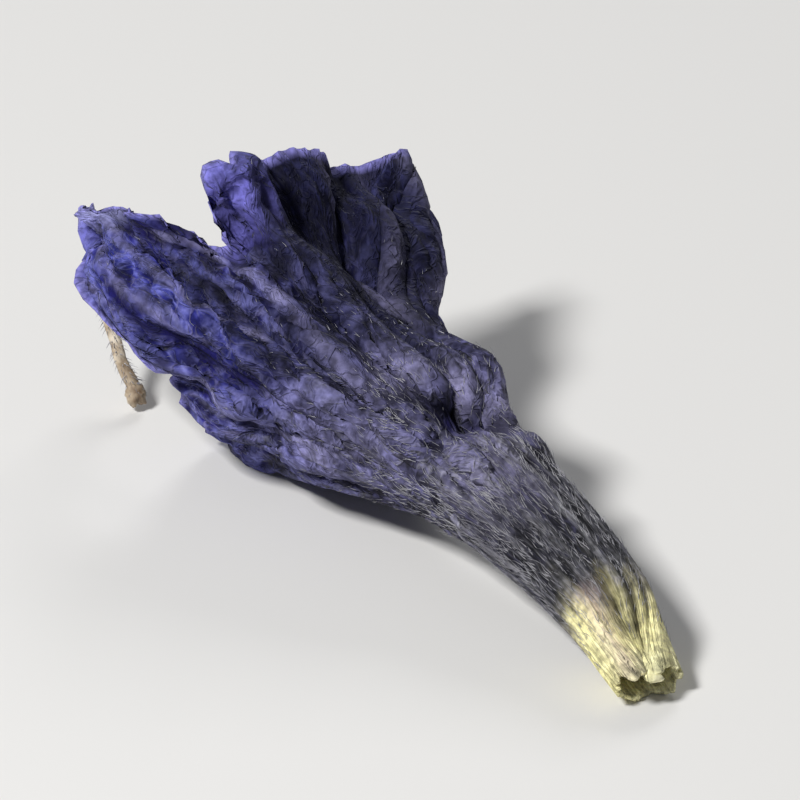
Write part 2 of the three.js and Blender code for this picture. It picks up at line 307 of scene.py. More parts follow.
def unevenness(grid):
    """How far the mean of a place's four neighbours lies from it."""
    around = np.roll(grid, 1, axis=1) + np.roll(grid, -1, axis=1)
    ahead = np.concatenate([grid[:1] * 2 - grid[1:2], grid[:-1]])
    behind = np.concatenate([grid[1:], grid[-1:] * 2 - grid[-2:-1]])
    return (around + ahead + behind) / 4 - grid


def cloudy(seed, rows, columns, patches=16):
    """Soft random patches over the sheet, from about -1 to 1, that close round the funnel."""
    coarse = np.random.default_rng(seed).normal(0, 0.7, (patches, patches))
    at_row = np.linspace(0, patches - 1.001, rows)
    at_column = np.linspace(0, patches, columns, endpoint=False)
    i, j = at_row.astype(int)[:, None], at_column.astype(int)[None]
    f, g = smooth_step(at_row[:, None] - i, 0, 1), smooth_step(at_column[None] - j, 0, 1)
    next_j = (j + 1) % patches
    near = coarse[i, j] * (1 - g) + coarse[i, next_j] * g
    far = coarse[i + 1, j] * (1 - g) + coarse[i + 1, next_j] * g
    return np.clip(near * (1 - f) + far * f, -1, 1)


def off_course(course):
    """Millimetres over the sheet from each of its places to a line through turns and distances."""
    girth = mean_radius(distance_grid)
    nearest = np.full_like(distance_grid, np.inf)
    for (first_turn, first_at), (last_turn, last_at) in zip(course, course[1:]):
        aside, ahead = np.radians(wrap_turn(turn_grid - first_turn)) * girth, distance_grid - first_at
        run_aside, run_ahead = np.radians(wrap_turn(last_turn - first_turn)) * girth, last_at - first_at
        share = (aside * run_aside + ahead * run_ahead) / (run_aside**2 + run_ahead**2)
        share = np.clip(share, 0, 1)
        nearest = np.minimum(nearest, np.hypot(aside - share * run_aside, ahead - share * run_ahead))
    return nearest


# Millimetres of the sheet's first random unevenness, share by which its cells lean and by which
# their growth varies, and how far each pass of the buckling overshoots
SEED_BULGE = 0.05
LEAN = 0.9
VARIETY = 0.6
OVERSHOOT = 1.6


def shrivel(rest, grow_round, grow_along, hold, stiffness, passes, seed):
    """Lets the sheet buckle: its cells want to be longer than the funnel has room for, while it
    stays loosely tied to its place and resists sharp bends."""
    chance = np.random.default_rng(seed)
    moved = rest + chance.normal(0, SEED_BULGE, rest.shape)
    both = (grow_round + grow_along) / 2
    slanting = both * LEAN * cloudy(seed + 1, *both.shape)
    more = 1 + VARIETY * cloudy(seed + 2, *both.shape)
    pairs = [
        ((0, 1), grow_round * more),
        ((1, 0), grow_along * more),
        ((1, 1), both + slanting),
        ((1, -1), both - slanting),
    ]
    ties = []
    for (down, across), grown in pairs:
        beside = np.roll(rest, -across, axis=1)
        length = np.linalg.norm(beside[down:] - rest[: len(rest) - down], axis=-1)
        ties.append((down, across, length * (1 + grown[: len(rest) - down])))
    for _ in range(passes):
        push = np.zeros_like(moved)
        share = np.zeros(moved.shape[:2])
        for down, across, length in ties:
            beside = np.roll(moved, -across, axis=1)[down:]
            here = moved[: len(moved) - down]
            gap = beside - here
            now = np.linalg.norm(gap, axis=-1) + 1e-9
            half = gap * (0.5 * (1 - length / now))[..., None]
            push[: len(moved) - down] += half
            push[down:] -= np.roll(half, across, axis=1)
            share[: len(moved) - down] += 1
            share[down:] += 1
        moved = moved + push * (OVERSHOOT / share)[..., None]
        bent = unevenness(unevenness(moved - rest))
        moved = moved - stiffness * bent
        moved = moved + hold[..., None] * (rest - moved)
    return moved


def finer(grid):
    """Twice as many columns and rows, on smooth curves between the old ones."""
    left, right = np.roll(grid, 1, axis=1), np.roll(grid, -1, axis=1)
    beyond = np.roll(grid, -2, axis=1)
    between = (9 * (grid + right) - left - beyond) / 16
    wide = np.stack([grid, between], axis=2).reshape(len(grid), -1, *grid.shape[2:])
    padded = np.concatenate([2 * wide[:1] - wide[1:2], wide, 2 * wide[-1:] - wide[-2:-1]])
    middle = (9 * (padded[1:-2] + padded[2:-1]) - padded[:-3] - padded[3:]) / 16
    tall = np.empty((2 * len(wide) - 1, *wide.shape[1:]))
    tall[::2], tall[1::2] = wide, middle
    return tall


TEAR_WAVE = 0.3
TEAR_DEPTH = 0.16
FRAY_DEPTH = 0.12
# Rows lie closer to each other towards the margin.
ROW_SPACING = 0.8
# Distances over which the tie loosens and the growth sets in, and the neck's firm tie
TIED_SPAN = (2, 10)
ROUND_SPAN = (2, 12)
ALONG_SPAN = (12, 20)
NECK_TIE = 0.3
MOUTH_RADIUS = 5
# Columns, passes of buckling, growth round the margin and along it, tie to the funnel and
# stiffness, from broad folds to fine ones
FOLD_SCALES = [
    (72, 250, 0.08, 0.01, 0.03, 0.25),
    (144, 350, 0.2, 0.03, 0.015, 0.15),
    (288, 300, 0.17, 0.06, 0.012, 0.05),
]
# Where the tissue has bunched up most: turn, distance, spread round and along, and growth
BUNCHES = [(66, 20.6, 1.1, 1.6, 2.4), (16, 26.4, 1.4, 1.0, 0.8)]
# The lower corner of the long lobe is worn away: turn, spread in degrees and depth.
WORN_CORNER = (353, 11, 2.2)
# Creases, ridges and stains of the outside, with painted shade in creases, grooves and the pocket, on
# the shaded panel and on the neck's right side, and painted highlights at the tip, along its edge and
# on the curl: tone, its strength, rise and width in millimetres, and the turns and distances that each
# runs through
MARKS = [
    ("deep_crease_shade", 0.95, -0.25, 0.45, [(9, 22.5), (7, 20.3), (3, 18.5), (8, 16.5)]),
    ("deep_crease_shade", 0.95, -0.12, 0.45, [(28, 25.2), (34, 23), (45, 21.2)]),
    ("shade", 0.8, -0.15, 0.6, [(36, 21), (35, 19), (30, 17.5), (24, 16.2)]),
    ("pale", 0.5, 0.18, 0.14, [(39, 22), (54, 19.3), (53, 17.3)]),
    ("pale", 0.3, 0.1, 0.1, [(53, 17.3), (49, 13)]),
    ("shade", 0.6, -0.06, 0.12, [(49, 16), (55, 15.4)]),
    ("shade", 0.6, -0.06, 0.1, [(48, 15), (54, 14.3)]),
    ("shade", 0.6, -0.1, 0.3, [(47, 18), (44, 13.8)]),
    ("shade", 0.6, -0.12, 0.25, [(60, 18), (57, 13.2)]),
    ("shade", 0.5, -0.1, 0.3, [(68, 17.5), (66, 13.5)]),
    ("pale", 0.4, 0.08, 0.12, [(26, 25), (22, 22), (25, 19.5), (33, 17)]),
    ("pale", 0.35, 0.08, 0.12, [(14, 25.5), (12, 22), (14, 19.5)]),
    ("pale", 0.3, 0.06, 0.1, [(1, 24), (4, 21.5)]),
    ("painted_highlight", 0.3, 0.45, 0.6, [(6, 26.6), (5, 25)]),
    # Painted highlight along the long lobe's upper edge
    ("edge_highlight", 0.75, 0, 0.45, [(29, 25.2), (24, 26.2), (12, 27.3)]),
    ("pale", 0.3, -0.25, 0.4, [(0, 25.6), (359, 24)]),
    ("blue", 0.95, 0, 1.2, [(20, 25), (20, 20), (17, 17.5)]),
    ("blue", 0.9, 0, 0.9, [(356, 22), (352, 17)]),
    ("pale", 0.5, 0.1, 0.45, [(350, 21), (335, 14.5)]),
    ("shade", 0.95, -0.25, 0.28, [(58, 12.8), (72, 11.9), (90, 11.5)]),
    ("deep_crease_shade", 0.95, -0.4, 0.5, [(80, 11.1), (98, 10.7), (114, 10.2)]),
    ("shade", 0.95, -0.08, 0.3, [(90, 11.6), (110, 11.4), (118, 11.15), (136, 10.7), (142, 10.3)]),
    ("deep_crease_shade", 0.9, -0.1, 0.4, [(96, 11.0), (112, 10.95), (120, 10.8), (136, 10.35)]),
    # Painted shade on the neck's right side, away from the light; the next mark is a dark lane of the
    # neck.
    ("ash_and_shade", 0.6, 0, 1.1, [(140, 9), (124, 4.8)]),
    ("ash_and_shade", 0.7, -0.05, 0.8, [(29, 7.2), (27, 6.2), (30, 5.3), (36, 4.4)]),
    ("deep_crease_shade", 0.95, -0.1, 0.42, [(68, 10.4), (82, 10.1), (94, 10.0)]),
    ("pale", 0.35, 0, 0.6, [(73, 12.9), (66, 13.6)]),
    ("pale", 0.6, 0.05, 0.5, [(112, 12.2), (119, 11.9), (138, 11.7), (141, 11.3)]),
    ("shade", 0.8, 0, 0.9, [(108, 13.9), (118, 14.8), (130, 15.6)]),
    ("pale", 0.2, 0, 1.2, [(3, 14.5), (12, 12.2)]),
    ("pale", 0.2, 0.3, 0.9, [(132, 10.4), (150, 9.8)]),
    ("pale", 0.45, 0.1, 1.0, [(56, 9.5), (50, 7.5)]),
    # The panel lies in shade: its darkness is painted shadow.
    ("panel_shadow", 1.0, 0, 2.6, [(100, 16.5), (100, 21), (124, 21.5), (136, 17)]),
    ("panel_shadow", 0.95, 0, 1.8, [(140, 16.5), (150, 22)]),
    ("panel_shadow", 0.6, 0.65, 1.3, [(157, 19.2), (160, 22)]),
    ("shade", 0.6, -0.2, 0.4, [(97, 16.5), (95, 21.4)]),
    ("pale", 0.4, 0.05, 0.2, [(144, 22.2), (150, 21.5), (160, 20.2), (160, 18.6), (159, 17)]),
    ("shade", 0.6, -0.08, 0.25, [(148, 20.8), (153, 19), (154, 17.6)]),
    ("pale", 0.25, 0.1, 0.12, [(110, 15.5), (108, 22)]),
    ("pale", 0.3, 0.12, 0.14, [(130, 15), (133, 22)]),
    # Painted highlight on the curl
    ("painted_highlight", 0.6, 0, 0.9, [(66, 21.5), (65, 20.5)]),
    ("shade", 0.85, -0.1, 0.6, [(67, 18.2), (71, 18.9), (77, 19.6)]),
    ("deep_crease_shade", 0.85, -0.2, 0.2, [(69, 20.9), (66, 20), (68, 19)]),
    ("deep_crease_shade", 0.85, -0.2, 0.18, [(59, 20.7), (63, 19.6)]),
    ("deep_crease_shade", 0.8, -0.15, 0.16, [(76, 20.9), (72, 20)]),
    # Painted highlight along the tip
    ("painted_highlight", 0.8, 0, 0.5, [(0, 26.6), (13, 27.3), (24, 26)]),
    ("olive", 0.7, 0, 0.2, [(66, 1.6), (72, 3.2)]),
    ("olive", 0.6, 0, 0.15, [(98, 0.4), (98, 2.2)]),
    ("rose", 0.5, 0, 0.3, [(30, 0.4), (40, 3.0)]),
]

sheet = None
for columns, passes, round_growth, along_growth, tie, stiffness in FOLD_SCALES:
    rows = ROWS * columns // COLUMNS
    turn_grid = np.tile(np.arange(columns) * 360 / columns, (rows + 1, 1))
    share_grid = np.tile(np.linspace(0, 1, rows + 1)[:, None], (1, columns))
    round_grid = np.radians(turn_grid)
    torn = TEAR_WAVE * (1 + np.sin(3 * round_grid + 1) * np.cos(4 * round_grid))
    torn = torn + TEAR_DEPTH * (cloudy(41, 2, columns, 30)[0] + 0.7 * cloudy(42, 2, columns, 60)[0])
    reach_grid = lobe_at(turn_grid)[2]
    corner_turn, corner_spread, corner_depth = WORN_CORNER
    reach_grid = reach_grid - corner_depth * np.exp(
        -((wrap_turn(turn_grid - corner_turn) / corner_spread) ** 2)
    )
    reach_grid = reach_grid + FRAY_DEPTH * (
        cloudy(43, 2, columns, 48)[0] + 0.6 * cloudy(44, 2, columns, 110)[0]
    )
    distance_grid = torn + (reach_grid - torn) * share_grid**ROW_SPACING
    start = sheet_point(turn_grid, distance_grid) if sheet is None else finer(sheet)
    held = tie + (NECK_TIE - tie) * (1 - smooth_step(distance_grid, *TIED_SPAN))
    bunched = 1.0
    for bunch_turn, bunch_at, across, along, strength in BUNCHES:
        aside = np.radians(wrap_turn(turn_grid - bunch_turn)) * MOUTH_RADIUS / across
        bunched = bunched + strength * np.exp(-(aside**2) - ((distance_grid - bunch_at) / along) ** 2)
    grow_round = round_growth * smooth_step(distance_grid, *ROUND_SPAN) * bunched
    grow_along = along_growth * smooth_step(distance_grid, *ALONG_SPAN) * bunched
    sheet = shrivel(start, grow_round, grow_along, held, stiffness, passes, columns)


def facing_out(grid):
    """Unit normals of the sheet's places."""
    round_it = np.roll(grid, -1, axis=1) - np.roll(grid, 1, axis=1)
    return unit(np.cross(round_it, np.gradient(grid, axis=0)))


# The tube's outer face lies where the solid's does. Over the last millimetres before the margin
# the sheet moves to the middle of the solid's wall.
SHEET = 0.14
SOLID_WALL = 0.6
SINKS_FROM = 6
SINKS_TO = 1
PRESSED = 0.4
PRESSED_LENGTH = 3
out_grid = facing_out(sheet)
rib_grid = (1 + np.cos(NECK_RIBS * (round_grid + np.radians(TWIST * distance_grid)))) / 2
ribs = along_stations(NECK_RIB_HEIGHTS, distance_grid) * rib_grid
tones = {}
crease = np.zeros_like(distance_grid)
for tone, strength, rise, width, course in MARKS:
    near = np.exp(-((off_course(course) / width) ** 2))
    crease += rise * near
    tones[tone] = np.maximum(tones.get(tone, 0), strength * near)
sunk = smooth_step(distance_grid, reach_grid - SINKS_FROM, reach_grid - SINKS_TO)
lift = (SOLID_WALL - SHEET) / 2 * (1 - sunk)
sheet = sheet + out_grid * (lift + ribs + crease)[..., None]
# The torn end is pressed flat.
pressed_share = 1 - PRESSED * (1 - smooth_step(distance_grid, 0, PRESSED_LENGTH))
floor_grid = along_stations(MIDDLE_HEIGHTS, distance_grid) - along_stations(HALF_HEIGHTS, distance_grid)
sheet[..., 2] = floor_grid + (sheet[..., 2] - floor_grid) * pressed_share
laid = settled(sheet)

# Where it would sink into the table it lies flat on it.
REST_HEIGHT = 0.08 * MM
REST_SOFTNESS = 0.03 * MM
pressed = (laid[..., 2] - REST_HEIGHT) / REST_SOFTNESS
laid[..., 2] = REST_HEIGHT + REST_SOFTNESS * np.logaddexp(0, pressed)
# No fold reaches further aside or up than the flower's own outline.
WIDEST = 5.6 * MM
HIGHEST = 9.95 * MM
EASE = 0.06 * MM
HELD_BACK = 0.9
for axis, side, furthest in [(1, 1, WIDEST), (1, -1, WIDEST), (2, 1, HIGHEST)]:
    beyond = (side * laid[..., axis] - furthest) / EASE
    laid[..., axis] -= side * EASE * HELD_BACK * np.logaddexp(0, beyond)
out_grid = facing_out(laid)

# How far each place stands out of its surroundings: ridges above 0, folds below
SMOOTHING_PASSES = 12
fold_grid = np.zeros_like(distance_grid)
smoothed = laid / MM
for _ in range(SMOOTHING_PASSES):
    fold_grid -= (unevenness(smoothed) * out_grid).sum(-1)
    smoothed = smoothed + unevenness(smoothed)

# Each point of the cylinder goes to its row and column of the sheet.
flat = np.zeros(len(corolla.data.vertices) * 3)
corolla.data.vertices.foreach_get("co", flat)
flat = flat.reshape(-1, 3)
column = np.round(np.degrees(np.arctan2(flat[:, 1], flat[:, 0])) * COLUMNS / 360).astype(int)
column %= COLUMNS
row = np.clip(np.round(flat[:, 2] * ROWS), 0, ROWS).astype(int)
corolla.data.vertices.foreach_set("co", laid[row, column].ravel())
corolla.data.update()

# The material's patterns lie on an even tube, so that they keep their size where the funnel widens.
LAY_RADIUS = 3
lay_grid = [LAY_RADIUS * np.cos(round_grid), LAY_RADIUS * np.sin(round_grid), distance_grid]
lay_grid = np.stack(lay_grid, -1)
for name, kind, values in [
    ("along", "FLOAT", distance_grid),
    ("to_margin", "FLOAT", reach_grid - distance_grid),
    ("fold", "FLOAT", fold_grid),
    ("rib", "FLOAT", rib_grid),
    ("lay", "FLOAT_VECTOR", lay_grid),
    *((tone, "FLOAT", values) for tone, values in tones.items()),
]:
    attribute = corolla.data.attributes.new(name, kind, "POINT")
    field = "vector" if kind == "FLOAT_VECTOR" else "value"
    attribute.data.foreach_set(field, values[row, column].astype(np.float32).ravel())

# The sheet gets its thickness, and half of it at the margin's edge.
MARGIN_THINNING = 0.5
THINNED_WIDTH = 2
pick(corolla)
thinning = corolla.vertex_groups.new(name="thinning")
thinned = smooth_step(distance_grid, reach_grid - THINNED_WIDTH, reach_grid)
fullness_grid = 1 - MARGIN_THINNING * thinned
for index, full in enumerate(fullness_grid[row, column].tolist()):
    thinning.add([index], full, "REPLACE")
thick = corolla.modifiers.new("thickness", "SOLIDIFY")
thick.thickness = SHEET * MM
thick.offset = 0
thick.vertex_group = "thinning"
thick.material_offset = 1
bpy.ops.object.modifier_apply(modifier=thick.name)
bpy.ops.object.shade_smooth()


def tint(red, green, blue):
    """A colour as a printed chart gives it, from 0 to 255, as Blender's linear values."""
    chart = np.array([red, green, blue]) / 255
    linear = np.where(chart <= 0.04045, chart / 12.92, ((chart + 0.055) / 1.055) ** 2.4)
    return (*linear.tolist(), 1)


def node(paint, kind, inputs=None, **settings):
    """Adds a shader node; an input is a value or another node's output."""
    made = paint.node_tree.nodes.new("ShaderNode" + kind)
    for name, value in settings.items():
        setattr(made, name, value)
    for key, value in (inputs or {}).items():
        if isinstance(value, bpy.types.NodeSocket):
            paint.node_tree.links.new(value, made.inputs[key])
        else:
            made.inputs[key].default_value = value
    return made


def ramp(paint, value, stops):
    """Colours at places from 0 to 1 along a value."""
    made = node(paint, "ValToRGB", {"Fac": value})
    elements = made.color_ramp.elements
    elements[0].position, elements[0].color = stops[0]
    elements[1].position, elements[1].color = stops[-1]
    for place, color in stops[1:-1]:
        elements.new(place).color = color
    return made.outputs["Color"]


def between(paint, value, low, high, start=0.0, end=1.0):
    """A value's place between two limits, as a share from start to end."""
    inputs = {"Value": value, "From Min": low, "From Max": high, "To Min": start, "To Max": end}
    return node(paint, "MapRange", inputs).outputs["Result"]


def times(paint, first, *others, operation="MULTIPLY"):
    """Values multiplied with each other, or put together by another operation."""
    for other in others:
        made = node(paint, "Math", {0: first, 1: other}, operation=operation)
        first = made.outputs["Value"]
    return first


def plus(paint, *values):
    return times(paint, *values, operation="ADD")


def mixed(paint, share, first, second):
    """Two colours, from the first to the second by a share."""
    inputs = {0: share, 6: first, 7: second}
    return node(paint, "Mix", inputs, data_type="RGBA", clamp_factor=True).outputs[2]


def attribute_of(paint, name, output="Fac"):
    return node(paint, "Attribute", attribute_name=name).outputs[output]


def stretched(paint, vector, scale):
    made = node(paint, "VectorMath", {0: vector, 1: scale}, operation="MULTIPLY")
    return made.outputs["Vector"]


def clouds(paint, vector, scale, detail, **more):
    """Random soft patches, as values round 0.5."""
    inputs = {"Vector": vector, "Scale": scale, "Detail": detail, **more}
    return node(paint, "TexNoise", inputs).outputs["Fac"]


def threads(paint, cloud, width):
    """Thin lines where a cloud crosses its middle value."""
    off_middle = node(paint, "Math", {0: plus(paint, cloud, -0.5)}, operation="ABSOLUTE")
    return between(paint, off_middle.outputs["Value"], width, 0.0)


def toned(paint, base, tone_key, tone_share):
    """A colour under one of the tones, where the sheet's attribute of that name has any."""
    return mixed(paint, times(paint, attribute_of(paint, tone_key), tone_share), base, TONES[tone_key])


def streaked(paint, base, along, streak, strength):
    """Lengthwise streaks, whitish over dark, and pale crests of the neck's ribs."""
    streaks = between(paint, along, 3, 17, 1.0, strength)
    streaks = times(paint, streaks, between(paint, along, 1.5, 4, 0.12, 1.0))
    pale = times(paint, between(paint, streak, 0.53, 0.66, 0, 0.5), streaks)
    base = mixed(paint, pale, base, STREAK_PALE)
    dark = times(paint, between(paint, streak, 0.48, 0.34, 0, 0.6), streaks)
    base = mixed(paint, dark, base, STREAK_DARK)
    necked = times(paint, between(paint, along, 2, 4), between(paint, along, 12, 5))
    crest = between(paint, attribute_of(paint, "rib"), 0.45, 1.0)
    crest = times(paint, crest, necked, between(paint, streak, 0.4, 0.6, 0, strength))
    return mixed(paint, crest, base, STREAK_PALE)


def crinkles(paint, lay):
    """A fine uneven net, drawn out along the petal, as the distance to its lines, and the finer
    wrinkles between them."""
    slow = stretched(paint, lay, (1, 1, 0.3))
    bent = node(paint, "TexNoise", {"Vector": slow, "Scale": 1.1, "Detail": 3.0}).outputs["Color"]
    bent = stretched(paint, bent, (1.0, 1.0, 2.0))
    bent = node(paint, "VectorMath", {0: lay, 1: bent}, operation="ADD").outputs["Vector"]
    cells = {"Vector": stretched(paint, bent, (1, 1, 0.26)), "Scale": 1.9}
    net = node(paint, "TexVoronoi", cells, feature="DISTANCE_TO_EDGE").outputs["Distance"]
    wrinkle = clouds(paint, stretched(paint, bent, (1, 1, 0.2)), 6.0, 2.0, Distortion=0.4)
    return net, threads(paint, wrinkle, 0.04)


# Colours along the flower, by millimetres from the torn end; their borders wander to and fro
LENGTH = 28
WANDER = 5.0
OUTSIDE_TINTS = [
    (0, tint(255, 250, 198)),
    (1.9, tint(255, 246, 178)),
    (2.9, tint(150, 144, 112)),
    (3.8, tint(50, 50, 50)),
    (6, tint(20, 20, 21)),
    (9, tint(20, 20, 26)),
    (13, tint(16, 15, 40)),
    (17, tint(17, 16, 60)),
    (22, tint(28, 25, 92)),
    (27, tint(44, 41, 130)),
]
INSIDE_TINTS = [
    (0, tint(190, 180, 128)),
    (3, tint(84, 80, 70)),
    (8, tint(30, 27, 50)),
    (14, tint(26, 22, 70)),
    (20, tint(32, 28, 100)),
    (27, tint(50, 46, 138)),
]
TONES = {
    # Painted shade of creases and of shadowed spots
    "shade": tint(8, 8, 30),
    # Painted shadow of the panel
    "panel_shadow": tint(6, 6, 36),
    "blue": tint(40, 46, 142),
    # Deep blue painted shade of grooves, of the rolled edge's underside and of the pocket
    "deep_crease_shade": tint(14, 10, 66),
    "pale": tint(140, 136, 172),
    # Painted highlight of the tip and the curl
    "painted_highlight": tint(122, 118, 206),
    # Painted highlight of the long lobe's upper edge
    "edge_highlight": tint(172, 172, 222),
    # Dark grey of the neck: painted shade on its right side, and a dark lane
    "ash_and_shade": tint(16, 16, 20),
    "olive": tint(104, 96, 58),
    "rose": tint(214, 186, 178),
}
RICH = tint(44, 36, 150)
STREAK_PALE = tint(156, 155, 160)
FIBRE_PALE = tint(128, 124, 176)
STREAK_DARK = tint(14, 14, 24)
# Painted shade of the folds
FOLD_SHADE = tint(4, 3, 16)
# Painted shade of the crinkles' pits
PIT_SHADE = tint(8, 6, 26)
# Painted highlight of ridges and wrinkles, the first up to 13 mm from the torn end, the second past 21
# mm
PALE_RIDGE_HIGHLIGHT = tint(122, 120, 168)
BLUE_RIDGE_HIGHLIGHT = tint(104, 107, 178)
# Pale edge of the margin, partly a painted highlight
MARGIN_PALE_AND_HIGHLIGHT = tint(138, 134, 208)
# Tones that lie under the streaks, the panel's painted shadow among them, and tones that are laid on
# unevenly, broken up by the crinkle net, painted highlights among them
UNDER_TONES = ("panel_shadow", "blue")
BROKEN_TONES = ("pale", "painted_highlight", "edge_highlight")


def petal_paint(name, tints, under_tones, marks, streak_share, fibre_share):
    """Dried petal tissue: a colour that runs along the flower under stains and painted shadow, streaks,
    fibres, a net of crinkles with painted shade and highlights, painted shade and highlights of the
    folds, and single marks."""
    paint = bpy.data.materials.new(name)
    paint.use_nodes = True
    lay = attribute_of(paint, "lay", "Vector")
    along = attribute_of(paint, "along")
    place = node(paint, "TexCoord").outputs["Object"]
    wander = times(paint, clouds(paint, lay, 0.5, 3.0), WANDER)
    ahead = between(paint, plus(paint, along, wander), WANDER / 2, WANDER / 2 + LENGTH)
    base = ramp(paint, ahead, [(at / LENGTH, color) for at, color in tints])
    # Cloudy places that kept a stronger blue, towards the mouth
    patch = clouds(paint, lay, 0.9, 4.0)
    rich = times(paint, between(paint, patch, 0.56, 0.36, 0, 0.7), between(paint, along, 14, 21))
    base = mixed(paint, rich, base, RICH)
    mottled = clouds(paint, stretched(paint, lay, (1, 1, 0.35)), 3.0, 5.0)
    mottled = between(paint, mottled, 0.35, 0.65, 0.6, 1.25)
    for tone_key in under_tones:
        base = toned(paint, base, tone_key, mottled)
    streak = clouds(paint, stretched(paint, lay, (1, 1, 0.1)), 4.5, 5.0, Roughness=0.65)
    base = streaked(paint, base, along, streak, streak_share)
    # Fibres: thin pale threads of the dried tissue that run along it and part and meet
    parted = clouds(paint, stretched(paint, lay, (1, 1, 0.22)), 3.2, 3.0, Distortion=0.6)
    fibre = threads(paint, parted, 0.035)
    fibres = between(paint, along, 2, 5, 0.1, fibre_share)
    fibre_color = mixed(paint, between(paint, along, 9, 15), STREAK_PALE, FIBRE_PALE)
    base = mixed(paint, times(paint, fibre, fibres), base, fibre_color)
    # Crinkles: pale ridges round dark pits, with finer pale wrinkles between them; the pits' darkness
    # is painted shade and the paleness of ridges and wrinkles a painted highlight, over the bump's
    # relief
    net, wrinkle = crinkles(paint, lay)
    crinkled = times(paint, between(paint, along, 8, 14, 0.15, 1.0), between(paint, along, 2, 5))
    pit = between(paint, net, 0.04, 0.26)
    ridge = between(paint, net, 0.09, 0.0)
    ridge_highlight = mixed(paint, between(paint, along, 13, 21), PALE_RIDGE_HIGHLIGHT, BLUE_RIDGE_HIGHLIGHT)
    base = mixed(paint, times(paint, pit, 0.82, crinkled), base, PIT_SHADE)
    base = mixed(paint, times(paint, ridge, 0.75, crinkled), base, ridge_highlight)
    base = mixed(paint, times(paint, wrinkle, 0.45, crinkled), base, ridge_highlight)
    # Painted shade darkens the folds and a painted highlight lightens the ridges, by how far each place
    # stands out
    grain = clouds(paint, place, 3500.0, 4.0)
    ragged = between(paint, grain, 0.3, 0.7, -0.06, 0.06)
    uneven = plus(paint, attribute_of(paint, "fold"), ragged)
    fold_shade_share = between(paint, uneven, 0.0, -0.16, 0, 0.92)
    base = mixed(paint, times(paint, fold_shade_share, between(paint, along, 1.5, 4, 0.4)), base, FOLD_SHADE)
    base = mixed(paint, between(paint, uneven, 0.05, 0.25, 0, 0.5), base, ridge_highlight)
    # The panel's painted shadow once more, over what has covered it, and the colours of single creases
    # and marks, painted shade and painted highlights among them
    base = toned(paint, base, "panel_shadow", 0.92)
    # Strength of the pale ridges and the painted highlights, broken up by the crinkle net
    net_broken = times(paint, mottled, between(paint, net, 0.0, 0.25, 1.15, 0.6))
    for mark in marks:
        base = toned(paint, base, mark, net_broken if mark in BROKEN_TONES else mottled)
    # Thin margin, paler along its very edge: partly its own thin tissue, partly a painted highlight
    # where the edge catches the light
    margin = between(paint, attribute_of(paint, "to_margin"), 0.35, 0.05, 0, 0.75)
    base = mixed(paint, margin, base, MARGIN_PALE_AND_HIGHLIGHT)
    speckle = between(paint, grain, 0.35, 0.65, 0.68, 1.32)
    made = node(paint, "HueSaturation", {"Color": base, "Value": speckle})
    shader = paint.node_tree.nodes["Principled BSDF"]
    paint.node_tree.links.new(made.outputs["Color"], shader.inputs["Base Color"])
    shader.inputs["Roughness"].default_value = 0.72
    shader.inputs["Specular IOR Level"].default_value = 0.15
    shader.inputs["Sheen Weight"].default_value = 0.04
    shader.inputs["Sheen Roughness"].default_value = 0.4
    shader.inputs["Sheen Tint"].default_value = (0.8, 0.8, 1, 1)
    # Relief too fine for the mesh
    height = plus(paint, times(paint, streak, 1.2), fibre, times(paint, pit, -1.4))
    height = plus(paint, height, times(paint, grain, 0.8), times(paint, wrinkle, crinkled, 1.2))
    bump = node(paint, "Bump", {"Height": height, "Strength": 0.8, "Distance": 0.00007})
    paint.node_tree.links.new(bump.outputs["Normal"], shader.inputs["Normal"])
    return paint


corolla.data.materials.clear()
creases = [tone for tone in tones if tone not in UNDER_TONES]
outside = petal_paint("dried petal, outside", OUTSIDE_TINTS, UNDER_TONES, creases, 0.75, 0.75)
corolla.data.materials.append(outside)
corolla.data.materials.append(petal_paint("dried petal, inside", INSIDE_TINTS, [], [], 0.25, 0.2))
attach(corolla, "root")
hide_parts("corolla")

# Hairs: short stiff whitish hairs that grow from the outside of the corolla and point to its
# mouth, dense on the neck and along the ribs, sparse on the lobes.
HAIRS = 6500
HAIR_SIDES = 3
HAIR_CUTS = 2
HAIR_RADIUS = 0.015
HAIR_THICKNESSES = (0.7, 1.3)
HAIR_LEANS = (2, 17)
HAIR_SWERVE = 0.35
HAIR_ARCH = 0.15
HAIR_LENGTHS = (0.2, 0.6)
HAIR_SUNK = 0.02
# A hair that would come lower than this over the table is left out.
HAIR_CLEAR = 0.02
# Places tried for each hair, and the share of the sheet's length that has any
TRIES = 6
HAIRY_SPAN = (0.02, 0.97)
# How thickly hairs stand: thickest on the neck, with a few all over, more on ridges than in folds
THICKEST_AT = 7.5
THICKEST_SPREAD = 4.5
SPARSE_SHARE = 0.008
RIDGE_GAIN = 5
SHORTER_SPAN = (10, 16)
# A tuft stands over the edge of the pocket: degrees round and millimetres along.
TUFT_TURN = 57
TUFT_DISTANCE = 12.6
TUFT_SPREAD = 9
TUFT_WIDTH = 0.7
TUFT_SHARE = 1.6

bpy.ops.object.select_all(action="DESELECT")
bpy.ops.mesh.primitive_cone_add(
    vertices=HAIR_SIDES, radius1=1, radius2=0, depth=1, end_fill_type="NOTHING", location=(0, 0, 0.5)
)
hair = bpy.context.object
hair.name = "petal_hairs"
bpy.ops.object.transform_apply(location=True)
bpy.ops.object.mode_set(mode="EDIT")
for cut in range(HAIR_CUTS):
    bpy.ops.mesh.select_all(action="SELECT")
    height = (cut + 1) / (HAIR_CUTS + 1)
    bpy.ops.mesh.bisect(plane_co=(0, 0, height), plane_no=(0, 0, 1))
bpy.ops.object.mode_set(mode="OBJECT")
one_hair = np.array([v.co for v in hair.data.vertices])
hair_faces = [list(face.vertices) for face in hair.data.polygons]
chance = np.random.default_rng(7)


